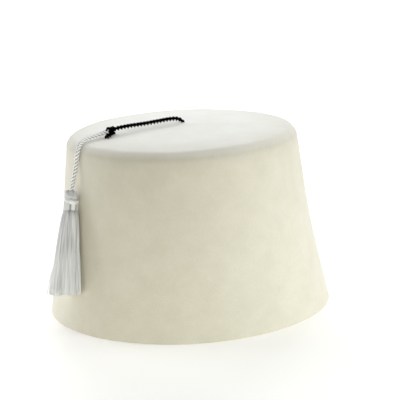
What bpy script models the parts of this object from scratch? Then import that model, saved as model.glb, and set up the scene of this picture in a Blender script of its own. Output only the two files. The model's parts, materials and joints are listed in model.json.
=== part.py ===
"""A fez: a stiff felt crown with a tassel hung from the middle of its top.

Metres, +Z up. The crown stands on z = 0 with its axis on Z, and its front faces -Y.
A black cord comes up through the top and is knotted round a doubled white cord,
which runs over the edge and carries the tassel down the wall.
"""
import math

import bmesh
import bpy
from mathutils import Matrix, Vector

# Felt crown
HEAD_GIRTH = 0.581
FELT = 0.0025
BASE_RADIUS = HEAD_GIRTH / (2 * math.pi) + FELT
TOP_RADIUS = 0.0773
SHOULDER_HEIGHT = 0.119
EDGE_RADIUS = 0.0079
WALL_DRAW_IN = 0.0019
TOP_CROWN = 0.0045
RIM_SOFTENING = 0.0004
CORD_HOLE_RADIUS = 0.0015
CORD_HOLE_X = 0.0015
HOLE_CUT_DEPTH = 0.012
TURN_STEPS = 80

# Cords
GAP = 0.0003
BLACK_CORD = 0.0020
WHITE_CORD = 0.0018
STRAND_SPACING = WHITE_CORD + GAP
TUBE_SPACING = 2.0
STOP_KNOT_RADIUS = 0.0032

# Points that the black cord passes through, from the hole in the top to its knot
BLACK_ROUTE = [
    (0.0003, -0.0002, 0.1246),
    (-0.0009, -0.0008, 0.1254),
    (-0.0025, -0.0015, 0.1261),
    (-0.0046, -0.0025, 0.1265),
    (-0.0083, -0.0041, 0.1266),
    (-0.0145, -0.0070, 0.1263),
    (-0.0230, -0.0109, 0.1259),
    (-0.0313, -0.0146, 0.1258),
    (-0.0375, -0.0175, 0.1256),
    (-0.0425, -0.0197, 0.1251),
]

# Points that the doubled white cord passes through, from the black knot to the tassel,
# with the angle by which the pair is rolled about its own line
WHITE_ROUTE = [
    (-0.0485, -0.0209, 0.1239, 0),
    (-0.0515, -0.0220, 0.1229, 0),
    (-0.0555, -0.0240, 0.1219, 0),
    (-0.0597, -0.0265, 0.1212, 0),
    (-0.0632, -0.0293, 0.1205, 0),
    (-0.0652, -0.0333, 0.1195, 0),
    (-0.0667, -0.0376, 0.1168, 5),
    (-0.0678, -0.0397, 0.1126, 10),
    (-0.0687, -0.0402, 0.1066, 20),
    (-0.0699, -0.0412, 0.1015, 35),
    (-0.0711, -0.0423, 0.0965, 50),
    (-0.0723, -0.0431, 0.0919, 60),
]

# Black knot, with the cord's own end standing out of it
KNOT_CENTRE = Vector((-0.0456, -0.0202, 0.1240))
KNOT_SIZE = (0.0056, 0.0052, 0.0049)
# Size of the knot's own ball, as a share of the whole knot, and of the tail's round end
KNOT_BALL_SHARE = 0.86
TAIL_END = 1.12 * BLACK_CORD
# Each wrap of the knot: lean and turn in degrees, and its place along the cord
KNOT_WRAPS = [(70, 15, 0.0007), (62, -35, -0.0007)]
TAIL_ROUTE = [
    (-0.0456, -0.0208, 0.1238),
    (-0.0458, -0.0234, 0.1233),
    (-0.0471, -0.0262, 0.1227),
    (-0.0490, -0.0284, 0.1223),
]

# Tassel
HEAD_CENTRE = Vector((-0.0730, -0.0444, 0.0864))
HEAD_RADIUS = 0.0051
HEAD_HEIGHT = 0.0090
HEAD_BALL = (1.8 * HEAD_RADIUS, 1.8 * HEAD_RADIUS, HEAD_HEIGHT)
BAND_RADIUS = 0.0014
# Each band round the head: tilt down to the right, lean, height above the middle, reach
HEAD_BANDS = [
    (23, 9, 0.0019, 0.84),
    (31, -6, 0.0001, 1.00),
    (22, 5, -0.0018, 0.86),
    (-57, 17, 0.0003, 0.94),
]
NECK_FOOT = Vector((-0.0742, -0.0446, 0.0771))
NECK_RADIUS = 0.0044
NECK_BUNDLES = 8
BUNDLE_RADIUS = 0.0014
BUNDLE_SHIFT = 0.3
# Where the neck starts, as a share of the way from the head's middle to the neck's foot
NECK_TOP_SHARE = 0.53
# The neck's outline: share of its length from the top, share of its radius
NECK_OUTLINE = [(0, 0.86), (0.5, 1.0), (1, 0.92)]
SKIRT_FOOT = Vector((-0.0804, -0.0575, 0.0250))
SKIRT_TOP_HALF = (0.0049, 0.0044)
SKIRT_FOOT_HALF = (0.0146, 0.0087)
SKIRT_LOCKS = 15
LOCK_RINGS = 7
LOCK_TOP_RADIUS = 0.0013
LOCK_FOOT_RADIUS = 0.0030
LOCK_SIDES = 8
# How far the locks' ends differ, the phase between neighbours, and where they end
LOCK_UNEVENNESS = 0.0009
LOCK_PHASE = 2.4
LOCK_REACH = 0.985
CORE_SIDES = 12
CORE_SHARE = 0.72
CORE_REACH = 0.97


def linear(hex_colour):
    """Turn an sRGB hex colour into linear RGBA."""
    channels = [int(hex_colour[i:i + 2], 16) / 255 for i in (1, 3, 5)]
    return [c / 12.92 if c <= 0.04045 else ((c + 0.055) / 1.055) ** 2.4 for c in channels] + [1]


def make_material(name, hex_colour, roughness):
    """A plain non-metal Principled material."""
    material = bpy.data.materials.new(name)
    material.use_nodes = True
    shader = material.node_tree.nodes["Principled BSDF"]
    shader.inputs["Base Color"].default_value = linear(hex_colour)
    shader.inputs["Roughness"].default_value = roughness
    shader.inputs["Metallic"].default_value = 0.0
    material.diffuse_color = linear(hex_colour)
    return material


def add_object(name, data, material):
    """Put a mesh or curve in the fez's collection with its material."""
    data.materials.clear()
    data.materials.append(material)
    thing = bpy.data.objects.new(name, data)
    bpy.data.collections["fez"].objects.link(thing)
    return thing


def mesh_from(bm, name):
    """Write a bmesh to a new smooth-shaded mesh and free it."""
    mesh = bpy.data.meshes.new(name)
    bm.to_mesh(mesh)
    bm.free()
    mesh.shade_smooth()
    mesh.set_sharp_from_angle(angle=math.radians(50))
    return mesh


def settled_mesh(thing, name):
    """Replace an object by a plain mesh of what its curve or modifiers make."""
    bpy.context.view_layer.update()
    evaluated = thing.evaluated_get(bpy.context.evaluated_depsgraph_get())
    mesh = bpy.data.meshes.new_from_object(evaluated)
    material = thing.data.materials[0]
    place = thing.matrix_world.copy()
    bpy.data.objects.remove(thing)
    bm = bmesh.new()
    bm.from_mesh(mesh)
    bmesh.ops.remove_doubles(bm, verts=bm.verts, dist=1e-6)
    bm.to_mesh(mesh)
    bm.free()
    solid = add_object(name, mesh, material)
    solid.matrix_world = place
    return solid


def cut(solid, cutter):
    """Take the cutter's shape out of the solid with a live Boolean."""
    modifier = solid.modifiers.new("cut", "BOOLEAN")
    modifier.operation = "DIFFERENCE"
    modifier.solver = "EXACT"
    modifier.object = cutter


def fuse(name, solids):
    """Join overlapping solids into one body."""
    body = solids[0]
    for other in solids[1:]:
        modifier = body.modifiers.new("union", "BOOLEAN")
        modifier.operation = "UNION"
        modifier.solver = "EXACT"
        modifier.object = other
    joined = settled_mesh(body, name)
    for other in solids[1:]:
        bpy.data.objects.remove(other)
    return joined


def spline_point(points, position):
    """A point on the smooth curve that passes through all the points."""
    last = len(points) - 1
    i = min(int(position), last - 1)
    t = position - i
    a, b, c, d = (points[max(0, min(last, k))] for k in (i - 1, i, i + 1, i + 2))
    return 0.5 * (2 * b + (c - a) * t + (2 * a - 5 * b + 4 * c - d) * t * t
                  + (3 * b - a - 3 * c + d) * t ** 3)


def even_points(points, spacing):
    """Points at an even spacing along the smooth curve through the given ones."""
    fine = [spline_point(points, k / 40) for k in range(40 * (len(points) - 1) + 1)]
    lengths = [0.0]
    for a, b in zip(fine, fine[1:]):
        lengths.append(lengths[-1] + (b - a).length)
    count = max(2, round(lengths[-1] / spacing))
    result = []
    k = 0
    for step in range(count + 1):
        target = lengths[-1] * step / count
        while k < len(fine) - 2 and lengths[k + 1] < target:
            k += 1
        share = (target - lengths[k]) / (lengths[k + 1] - lengths[k])
        result.append(fine[k].lerp(fine[k + 1], share))
    return result


def make_tube(name, points, diameter, material):
    """A round cord along a POLY spline through the points."""
    curve = bpy.data.curves.new(name, "CURVE")
    curve.dimensions = "3D"
    curve.bevel_depth = diameter / 2
    curve.bevel_resolution = 2
    curve.use_fill_caps = True
    spline = curve.splines.new("POLY")
    spline.points.add(len(points) - 1)
    for target, point in zip(spline.points, points):
        target.co = (*point, 1)
    return add_object(name, curve, material)


def make_ball(name, size, place, material, segments=16):
    """An ellipsoid of the given full sizes, set by a matrix."""
    bm = bmesh.new()
    bmesh.ops.create_uvsphere(bm, u_segments=segments, v_segments=segments // 2 + 1, radius=0.5)
    bm.transform(place @ Matrix.Diagonal((*size, 1)))
    return add_object(name, mesh_from(bm, name), material)


def make_ring(name, major, minor, place, material):
    """A closed ring of round section, turned about the matrix's Z axis."""
    bm = bmesh.new()
    sides = 10
    section = [bm.verts.new((major + minor * math.cos(2 * math.pi * k / sides), 0,
                             minor * math.sin(2 * math.pi * k / sides))) for k in range(sides)]
    edges = [bm.edges.new((section[k], section[(k + 1) % sides])) for k in range(sides)]
    bmesh.ops.spin(bm, geom=section + edges, cent=(0, 0, 0), axis=(0, 0, 1),
                   angle=2 * math.pi, steps=20, use_merge=True)
    bmesh.ops.remove_doubles(bm, verts=bm.verts, dist=1e-6)
    bm.transform(place)
    bmesh.ops.recalc_face_normals(bm, faces=bm.faces)
    return add_object(name, mesh_from(bm, name), material)


def arc(centre, radius, start, end, steps):
    """Points on an arc, angles in degrees from +R towards +Z."""
    angles = [math.radians(start + (end - start) * k / steps) for k in range(steps + 1)]
    return [(centre[0] + radius * math.cos(a), centre[1] + radius * math.sin(a)) for a in angles]


def crown_skin(inset, wall_steps, dome_steps, arc_steps, foot):
    """Radius and height down one side of the felt, which lies inset from its outside."""
    wall_top = SHOULDER_HEIGHT - EDGE_RADIUS
    centre = (TOP_RADIUS - EDGE_RADIUS, wall_top)
    slope = math.degrees(math.atan(2 * TOP_CROWN / centre[0]))
    edge = arc(centre, EDGE_RADIUS - inset, 90 - slope, 0, arc_steps)
    dome_radius, dome_foot = edge[0]
    steps = [k / dome_steps for k in range(dome_steps)]
    dome = [(dome_radius * q, dome_foot + TOP_CROWN * (1 - q * q)) for q in steps]
    wall = []
    for k in range(1, wall_steps + 1):
        height = wall_top + (foot - wall_top) * k / wall_steps
        share = height / wall_top
        radius = BASE_RADIUS + (TOP_RADIUS - BASE_RADIUS) * share
        radius -= WALL_DRAW_IN * 4 * share * (1 - share)
        wall.append((radius - inset, height))
    return dome + edge + wall


def build_felt_crown(material):
    """One turned body of felt, open below, with a small hole for the cord in its top."""
    outside = crown_skin(0, 7, 4, 5, RIM_SOFTENING)
    inside = crown_skin(FELT, 5, 3, 4, RIM_SOFTENING)
    rim = [(BASE_RADIUS - RIM_SOFTENING, 0), (BASE_RADIUS - FELT + RIM_SOFTENING, 0)]
    profile = outside + rim + inside[::-1]
    bm = bmesh.new()
    verts = [bm.verts.new((radius, 0, height)) for radius, height in profile]
    for a, b in zip(verts, verts[1:]):
        bm.edges.new((a, b))
    crown = add_object("felt_crown", mesh_from(bm, "felt_crown"), material)
    turn = crown.modifiers.new("turn", "SCREW")
    turn.axis = "Z"
    turn.angle = 2 * math.pi
    turn.screw_offset = 0
    turn.steps = TURN_STEPS
    turn.render_steps = TURN_STEPS
    turn.use_merge_vertices = True
    turn.merge_threshold = 1e-5
    turn.use_smooth_shade = True
    cut(crown, make_hole_cutter(material))
    return crown


def make_hole_cutter(material):
    """A short rod where the cord goes through the top."""
    bm = bmesh.new()
    bmesh.ops.create_cone(bm, cap_ends=True, segments=20, radius1=CORD_HOLE_RADIUS,
                          radius2=CORD_HOLE_RADIUS, depth=HOLE_CUT_DEPTH)
    bm.transform(Matrix.Translation((CORD_HOLE_X, 0, SHOULDER_HEIGHT + TOP_CROWN - FELT / 2)))
    cutter = add_object("cord_hole_cutter", mesh_from(bm, "cord_hole_cutter"), material)
    bpy.data.collections["fez"].objects.unlink(cutter)
    bpy.data.collections["cutters"].objects.link(cutter)
    cutter.hide_render = True
    cutter.display_type = "WIRE"
    return cutter


def build_black_cord(material):
    """The cord from the hole in the top to the black knot, arched clear of the felt."""
    points = even_points([Vector(p) for p in BLACK_ROUTE], TUBE_SPACING * BLACK_CORD)
    return make_tube("black_cord", points, BLACK_CORD, material)


def build_stop_knot(material):
    """The plain knot inside the top, with the short length of cord that fills the hole."""
    outside = SHOULDER_HEIGHT + TOP_CROWN
    knot_height = outside - FELT - GAP - STOP_KNOT_RADIUS
    size = [2 * STOP_KNOT_RADIUS] * 3
    ball = make_ball("stop_ball", size, Matrix.Translation((CORD_HOLE_X, 0, knot_height)), material, 14)
    bm = bmesh.new()
    depth = outside - knot_height
    bmesh.ops.create_cone(bm, cap_ends=True, segments=12, radius1=BLACK_CORD / 2,
                          radius2=BLACK_CORD / 2, depth=depth)
    bm.transform(Matrix.Translation((CORD_HOLE_X, 0, knot_height + depth / 2)))
    shank = add_object("stop_shank", mesh_from(bm, "stop_shank"), material)
    return fuse("stop_knot", [ball, shank])


def build_black_knot(material):
    """A small overhand knot: a ball, two wraps across it and the cord's own end."""
    along = Vector(BLACK_ROUTE[-1]) - Vector(BLACK_ROUTE[-2])
    heading = Matrix.Rotation(math.atan2(along.y, along.x), 4, "Z")
    place = Matrix.Translation(KNOT_CENTRE) @ heading
    ball = make_ball("knot_ball", [KNOT_BALL_SHARE * size for size in KNOT_SIZE], place, material, 12)
    reach = (KNOT_SIZE[2] - BLACK_CORD) / 2
    wraps = []
    for tilt, turn, shift in KNOT_WRAPS:
        tipped = Matrix.Rotation(math.radians(turn), 4, "Z") @ Matrix.Rotation(math.radians(tilt), 4, "Y")
        seat = place @ Matrix.Translation((shift, 0, 0)) @ tipped
        wraps.append(make_ring("knot_wrap", reach, BLACK_CORD / 2, seat, material))
    tail_points = even_points([Vector(p) for p in TAIL_ROUTE], BLACK_CORD)
    tail = settled_mesh(make_tube("knot_tail", tail_points, BLACK_CORD, material), "knot_tail")
    end = make_ball("knot_tail_end", [TAIL_END] * 3, Matrix.Translation(tail_points[-1]), material, 10)
    return fuse("black_knot", [ball, *wraps, tail, end])


def outward(point):
    """The felt's outward direction at a point on or near its outside."""
    radius = math.hypot(point.x, point.y)
    level = max(radius - (TOP_RADIUS - EDGE_RADIUS), 0)
    rise = max(point.z - (SHOULDER_HEIGHT - EDGE_RADIUS), 0)
    return Vector((point.x / radius * level, point.y / radius * level, rise)).normalized()


def strand_route(side):
    """One strand of the doubled cord: the pair's line, moved to one side of it."""
    centres = [Vector(row[:3]) for row in WHITE_ROUTE]
    moved = []
    for i, centre in enumerate(centres):
        ahead = centres[min(i + 1, len(centres) - 1)] - centres[max(i - 1, 0)]
        up = outward(centre)
        across = ahead.cross(up).normalized()
        roll = math.radians(WHITE_ROUTE[i][3])
        moved.append(centre + (across * math.cos(roll) + up * math.sin(roll)) * side * STRAND_SPACING / 2)
    return moved


def build_tassel_cords(material):
    """The two strands that carry the tassel over the edge."""
    for name, side in (("tassel_cord_front", 1), ("tassel_cord_back", -1)):
        points = even_points(strand_route(side), TUBE_SPACING * WHITE_CORD)
        make_tube(name, points, WHITE_CORD, material)


def tassel_frame(top, foot, origin):
    """A matrix with Z up the tassel, X along the felt and Y away from it."""
    up = (top - foot).normalized()
    away = Vector((origin.x, origin.y, 0)).normalized()
    along = away.cross(up).normalized()
    away = up.cross(along)
    turned = Matrix((along, away, up)).transposed().to_4x4()
    return Matrix.Translation(origin) @ turned


def build_tassel_head(material):
    """The knot at the top of the tassel: a ball wound with slanting bands."""
    place = tassel_frame(HEAD_CENTRE, NECK_FOOT, HEAD_CENTRE)
    solids = [make_ball("head_ball", HEAD_BALL, place, material)]
    for tilt, lean, height, reach in HEAD_BANDS:
        tipped = Matrix.Rotation(math.radians(tilt), 4, "Y") @ Matrix.Rotation(math.radians(lean), 4, "X")
        seat = Matrix.Translation(HEAD_CENTRE + Vector((0, 0, height))) @ tipped
        major = (HEAD_RADIUS - BAND_RADIUS) * reach
        solids.append(make_ring("head_band", major, BAND_RADIUS, seat, material))
    return fuse("tassel_head", solids)


def swept_lock(name, centres, radii, turned, sides, material):
    """A tapering lock: a closed cylinder whose rings, of two radii each, are moved onto the centres."""
    bm = bmesh.new()
    bmesh.ops.create_cone(bm, cap_ends=True, segments=sides, radius1=1, radius2=1, depth=1)
    uprights = [e for e in bm.edges if abs(e.verts[0].co.z - e.verts[1].co.z) > 0.5]
    bmesh.ops.subdivide_edges(bm, edges=uprights, cuts=len(centres) - 2, use_grid_fill=True)
    for vert in bm.verts:
        ring = round((0.5 - vert.co.z) * (len(centres) - 1))
        wide, deep = radii[ring]
        vert.co = centres[ring] + turned @ Vector((vert.co.x * wide, vert.co.y * deep, 0))
    bmesh.ops.recalc_face_normals(bm, faces=bm.faces)
    return add_object(name, mesh_from(bm, name), material)


def skirt_half(share):
    """Half the skirt's width along the felt and away from it, at a share of its length."""
    return [a + (b - a) * share for a, b in zip(SKIRT_TOP_HALF, SKIRT_FOOT_HALF)]


def uneven(k):
    """A small length, up or down, that differs from each lock to the next."""
    return LOCK_UNEVENNESS * math.sin(LOCK_PHASE * k + 0.4)


def skirt_lock(k, turned, material):
    """One lock of threads on the outside of the skirt."""
    angle = 2 * math.pi * k / SKIRT_LOCKS
    skirt_length = (NECK_FOOT - SKIRT_FOOT).length
    first = uneven(k + 1) / skirt_length
    last = LOCK_REACH + uneven(k) / skirt_length
    centres = []
    radii = []
    for ring in range(LOCK_RINGS):
        share = first + (last - first) * ring / (LOCK_RINGS - 1)
        thick = LOCK_TOP_RADIUS + (LOCK_FOOT_RADIUS - LOCK_TOP_RADIUS) * share
        wide, deep = skirt_half(share)
        place = Vector(((wide - thick) * math.cos(angle), (deep - thick) * math.sin(angle), 0))
        centres.append(NECK_FOOT.lerp(SKIRT_FOOT, share) + turned @ place)
        radii.append((thick, thick))
    return swept_lock("skirt_lock", centres, radii, turned, LOCK_SIDES, material)


def neck_bundle(k, neck_top, turned, material):
    """One upright bundle of the neck, bulging a little at its middle."""
    angle = 2 * math.pi * k / NECK_BUNDLES
    outward_way = turned @ Vector((math.cos(angle), math.sin(angle), 0))
    shift = turned @ Vector((0, 0, BUNDLE_SHIFT * uneven(k)))
    centres = []
    for share, reach in NECK_OUTLINE:
        side = outward_way * (NECK_RADIUS * reach - BUNDLE_RADIUS)
        centres.append(neck_top.lerp(NECK_FOOT, share) + side + shift)
    radii = [(BUNDLE_RADIUS, BUNDLE_RADIUS)] * len(centres)
    return swept_lock("neck_bundle", centres, radii, turned, LOCK_SIDES, material)


def skirt_core(neck_top, turned, material):
    """The filling of the neck and the skirt, ending a little above the locks."""
    shares = [CORE_REACH * ring / (LOCK_RINGS - 1) for ring in range(LOCK_RINGS)]
    centres = [neck_top] + [NECK_FOOT.lerp(SKIRT_FOOT, share) for share in shares]
    halves = [(NECK_RADIUS, NECK_RADIUS)] + [skirt_half(share) for share in shares]
    radii = [(CORE_SHARE * wide, CORE_SHARE * deep) for wide, deep in halves]
    return swept_lock("skirt_core", centres, radii, turned, CORE_SIDES, material)


def build_tassel_skirt(material):
    """The bound neck and the skirt of threads, as locks fused round a core."""
    neck_top = HEAD_CENTRE.lerp(NECK_FOOT, NECK_TOP_SHARE)
    neck_turned = tassel_frame(HEAD_CENTRE, NECK_FOOT, NECK_FOOT).to_3x3()
    skirt_turned = tassel_frame(NECK_FOOT, SKIRT_FOOT, NECK_FOOT).to_3x3()
    solids = [skirt_core(neck_top, skirt_turned, material)]
    for k in range(SKIRT_LOCKS):
        solids.append(skirt_lock(k, skirt_turned, material))
    for k in range(NECK_BUNDLES):
        solids.append(neck_bundle(k, neck_top, neck_turned, material))
    return fuse("tassel_skirt", solids)


def main():
    """Empty the scene and build the fez."""
    for thing in list(bpy.data.objects):
        bpy.data.objects.remove(thing)
    for name in ("fez", "cutters"):
        bpy.context.scene.collection.children.link(bpy.data.collections.new(name))
    felt = make_material("cream_wool_felt", "#E6E2D2", 0.95)
    black = make_material("black_twisted_cotton", "#0B0B0C", 0.85)
    white = make_material("white_rayon_thread", "#D3D3CC", 0.55)
    build_felt_crown(felt)
    build_black_cord(black)
    build_stop_knot(black)
    build_black_knot(black)
    build_tassel_cords(white)
    build_tassel_head(white)
    build_tassel_skirt(white)


main()
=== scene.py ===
"""A felt fez with a rayon tassel, dressed for rendering round its CAD frame.

The file is laid out as an add-on. Its settings are the sizes and colours of the crown,
the cords and the tassel, and each operator makes one piece or one group of like pieces.
All lengths are in metres, with +Z up, the hat's front towards -Y and its rim on z = 0.
"""

import json
import math
import random

import bmesh
import bpy
from bpy.props import FloatProperty, IntProperty, PointerProperty, StringProperty
from mathutils import Matrix, Vector, noise

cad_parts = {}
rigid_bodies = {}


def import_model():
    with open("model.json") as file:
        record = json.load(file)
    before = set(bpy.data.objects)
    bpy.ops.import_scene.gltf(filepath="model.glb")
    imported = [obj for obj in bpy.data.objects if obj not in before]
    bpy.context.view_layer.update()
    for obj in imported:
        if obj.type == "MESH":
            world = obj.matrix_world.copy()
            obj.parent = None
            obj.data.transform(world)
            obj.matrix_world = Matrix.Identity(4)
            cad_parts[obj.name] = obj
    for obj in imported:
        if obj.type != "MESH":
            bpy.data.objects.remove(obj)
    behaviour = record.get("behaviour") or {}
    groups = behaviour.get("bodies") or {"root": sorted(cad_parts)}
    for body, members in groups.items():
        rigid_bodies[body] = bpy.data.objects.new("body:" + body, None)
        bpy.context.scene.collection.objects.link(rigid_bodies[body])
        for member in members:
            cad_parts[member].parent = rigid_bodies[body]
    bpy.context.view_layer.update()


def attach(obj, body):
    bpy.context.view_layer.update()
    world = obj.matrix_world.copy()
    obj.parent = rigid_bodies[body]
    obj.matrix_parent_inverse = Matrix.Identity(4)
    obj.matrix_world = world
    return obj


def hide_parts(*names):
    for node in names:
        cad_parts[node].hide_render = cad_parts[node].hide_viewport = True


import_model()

bl_info = {
    "name": "Felt fez",
    "version": (1, 0, 0),
    "blender": (4, 5, 0),
    "location": "View3D > Sidebar > Fez",
    "description": "Makes a felt fez with its knotted cords and rayon tassel",
    "category": "Object",
}

TURN = 2 * math.pi
# Vertices nearer to each other than this are one
MERGE_DISTANCE = 1e-6
# Sockets of a Mix node that hold colours
MIX_A, MIX_B, MIX_RESULT = 6, 7, 2

# Length of cord between two rings of its mesh, and plies in every cord
CORD_STEP = 0.0003
PLIES = 2
# How far two twisted plies reach across, as a share of the cord's mean thickness. The black
# cord's is larger, so that its twist shows at the size of the picture.
PLY_REACH = 1.25
BLACK_PLY_REACH = 1.36
# Place of a ply's centre, as a share of that reach: in a knot, and in a laid cord
PLY_SPREAD = 0.23
LAID_PLY_SPREAD = 0.24
# The black cord is drawn a little thicker than its tube, and swells where its plies lie one
# above the other: the swelling each way, and the angle at which it starts
BLACK_THICKENING = 1.09
BLACK_SWELLING = 0.14
BLACK_SWELLING_START = 6.04
# A white strand is slack at the knot, where its plies open over a ninth of its length, and the
# tassel's weight draws it thinner and thinner towards the tassel
WHITE_SLACK = 1.18
WHITE_DRAWN_OUT = 0.36
WHITE_OPENING = 0.20
WHITE_OPENING_RATE = 9

# Camera: where it stands, the point it aims at, its roll in degrees, lens and sensor in
# millimetres, and the nearest and farthest things it sees
CAMERA_PLACE = Vector((0.0, -1.02787, 0.32160))
CAMERA_AIM = Vector((0.01019, 0.00289, 0.06870))
CAMERA_ROLL = -2.846
CAMERA_LENS = 141.17
CAMERA_SENSOR = 36.0
CAMERA_RANGE = (0.05, 50.0)

# The black cord's line, from inside the top to the middle of the black knot
BLACK_ROUTE = [
    (0.0023, 0.0004, 0.1196),
    (0.0019, 0.0002, 0.1216),
    (0.0012, 0.0000, 0.1233),
    (0.0003, -0.0002, 0.1246),
    (-0.0009, -0.0008, 0.1254),
    (-0.0025, -0.0015, 0.1261),
    (-0.0046, -0.0025, 0.1265),
    (-0.0083, -0.0041, 0.1266),
    (-0.0145, -0.0070, 0.1263),
    (-0.0230, -0.0109, 0.1259),
    (-0.0313, -0.0146, 0.1258),
    (-0.0375, -0.0175, 0.1256),
    (-0.0425, -0.0197, 0.1251),
    (-0.0456, -0.0208, 0.1243),
]

# The doubled white cord's line, from the black knot to the tassel's neck, with the angle
# by which the pair is rolled about it and the half distance between its strands
WHITE_ROUTE = [
    (-0.0462, -0.0203, 0.1240, 0, 0.0008),
    (-0.0485, -0.0209, 0.1238, 0, 0.0014),
    (-0.0515, -0.0220, 0.1229, 0, 0.0015),
    (-0.0555, -0.0240, 0.1219, 0, 0.0015),
    (-0.0597, -0.0265, 0.1212, 0, 0.0014),
    (-0.0632, -0.0293, 0.1205, 0, 0.0012),
    (-0.0652, -0.0333, 0.1195, 0, 0.0011),
    (-0.0667, -0.0376, 0.1168, 5, 0.0009),
    (-0.0678, -0.0397, 0.1126, 10, 0.0009),
    (-0.0687, -0.0402, 0.1066, 20, 0.0008),
    (-0.0699, -0.0412, 0.1015, 35, 0.0007),
    (-0.0711, -0.0423, 0.0965, 50, 0.0007),
    (-0.0723, -0.0431, 0.0919, 60, 0.0006),
    (-0.0730, -0.0440, 0.0880, 60, 0.0006),
    (-0.0736, -0.0445, 0.0830, 60, 0.0006),
    (-0.0741, -0.0446, 0.0785, 60, 0.0006),
]

KNOT_CENTRE = Vector((-0.0461, -0.0206, 0.1239))
STOP_KNOT_CENTRE = Vector((0.0020, 0.0003, 0.1176))
# How the knot lies: its turn from the cord's heading, and its roll about its own length
KNOT_TURN = math.pi + 0.45
KNOT_ROLL = math.radians(-25)
# The free end of the black cord, standing out of its knot towards the front
TAIL_ROUTE = [
    (-0.0456, -0.0208, 0.1236),
    (-0.0457, -0.0224, 0.1231),
    (-0.0461, -0.0244, 0.1226),
    (-0.0471, -0.0267, 0.1221),
    (-0.0488, -0.0292, 0.1218),
]
# The cord's end inside the crown, hanging from the stop knot
INNER_TAIL_ROUTE = [
    (0.0020, 0.0003, 0.1172),
    (0.0026, 0.0012, 0.1152),
    (0.0034, 0.0022, 0.1128),
    (0.0038, 0.0026, 0.1100),
]
# Length, width and height of the two overhand knots of the black cord
KNOT_SIZE = (0.0070, 0.0064, 0.0059)
STOP_KNOT_SIZE = (0.0056, 0.0060, 0.0058)
# A knot's cord is pulled thin, and the core between its turns fills this share of its size
KNOT_CORD_SHARE = 0.95
KNOT_CORE_SHARE = 0.76
KNOT_STEPS = 96
# The free end is slack, so it is thicker than the cord, and it frays from this share of its length
TAIL_SLACK = 1.12
TAIL_FRAY = 0.2
TAIL_FRAY_STARTS = 0.6

HEAD_CENTRE = Vector((-0.0730, -0.0444, 0.0864))
NECK_FOOT = Vector((-0.0741, -0.0446, 0.0780))
SKIRT_FOOT = Vector((-0.0804, -0.0575, 0.0250))

# The strands of the doubled white cord: piece, side of the pair's line, and CAD node
WHITE_STRANDS = [
    ("laid_white_cord_front", 1, "tassel_cord_front"),
    ("laid_white_cord_back", -1, "tassel_cord_back"),
]


# What every length in the settings shares
LENGTH = {"precision": 4, "unit": "LENGTH"}


class FezCrownSettings(bpy.types.PropertyGroup):
    """Sizes and colour of the felt crown."""

    base_diameter: FloatProperty(
        name="Base diameter", description="Across the rim, outside the felt",
        default=0.18996, min=0.15, max=0.25, **LENGTH)
    top_diameter: FloatProperty(
        name="Top diameter", description="Across the top, outside the felt",
        default=0.1546, min=0.10, max=0.20, **LENGTH)
    shoulder_height: FloatProperty(
        name="Shoulder height", description="From the rim to the level of the top's edge",
        default=0.119, min=0.08, max=0.18, **LENGTH)
    edge_radius: FloatProperty(
        name="Edge radius", description="Rounding where the wall turns into the top",
        default=0.0079, min=0.002, max=0.02, **LENGTH)
    top_crown: FloatProperty(
        name="Top crown", description="How far the top's middle stands above its edge",
        default=0.0045, min=0.0, max=0.01, **LENGTH)
    wall_draw_in: FloatProperty(
        name="Wall draw-in", description="How far the wall is drawn in at half its height",
        default=0.0019, min=0.0, max=0.006, **LENGTH)
    felt_thickness: FloatProperty(
        name="Felt thickness", description="Thickness of the wall and the top",
        default=0.0025, min=0.001, max=0.004, **LENGTH)
    felt_colour: StringProperty(
        name="Felt colour", description="The wool felt's colour, as sRGB hex", default="#EDE8D6")
    # The top's paler colour is painted light, for the light and sheen that the top catches
    painted_lit_top_colour: StringProperty(
        name="Top colour", description="The felt's brushed top, as sRGB hex", default="#F2F0E9")


class FezCordSettings(bpy.types.PropertyGroup):
    """Sizes and colours of the cords."""

    black_diameter: FloatProperty(
        name="Black cord diameter", description="Mean thickness of the black cord",
        default=0.0020, min=0.001, max=0.004, **LENGTH)
    black_pitch: FloatProperty(
        name="Black cord pitch", description="Length of one full twist of the black cord",
        default=0.0047, min=0.002, max=0.02, **LENGTH)
    white_diameter: FloatProperty(
        name="White cord diameter", description="Mean thickness of one white strand",
        default=0.0017, min=0.001, max=0.004, **LENGTH)
    white_pitch: FloatProperty(
        name="White cord pitch", description="Length of one full twist of the white cord",
        default=0.0047, min=0.002, max=0.02, **LENGTH)
    black_colour: StringProperty(
        name="Black colour", description="The black cotton's colour, as sRGB hex", default="#030303")
    white_colour: StringProperty(
        name="White colour", description="The white rayon's lit colour, as sRGB hex", default="#FAFAFA")


class FezTasselSettings(bpy.types.PropertyGroup):
    """Sizes of the tassel."""

    head_diameter: FloatProperty(
        name="Head diameter", description="Across the wound knot at the top of the tassel",
        default=0.0102, min=0.005, max=0.02, **LENGTH)
    neck_diameter: FloatProperty(
        name="Neck diameter", description="Across the gathered neck below the head",
        default=0.0090, min=0.004, max=0.02, **LENGTH)
    skirt_width: FloatProperty(
        name="Skirt width", description="Across the skirt's foot, along the felt",
        default=0.0292, min=0.01, max=0.05, **LENGTH)
    skirt_depth: FloatProperty(
        name="Skirt depth", description="Across the skirt's foot, away from the felt",
        default=0.0174, min=0.008, max=0.04, **LENGTH)
    thread_diameter: FloatProperty(
        name="Thread diameter", description="Thickness of one thread of the skirt",
        default=0.00052, min=0.0002, max=0.001, precision=5, unit="LENGTH")
    thread_count: IntProperty(
        name="Threads", description="How many threads the skirt has", default=560, min=100, max=900)


def linear(hex_colour):
    """Turn an sRGB hex colour into linear RGBA."""
    channels = [int(hex_colour[i:i + 2], 16) / 255 for i in (1, 3, 5)]
    return [c / 12.92 if c <= 0.04045 else ((c + 0.055) / 1.055) ** 2.4 for c in channels] + [1]


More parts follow.
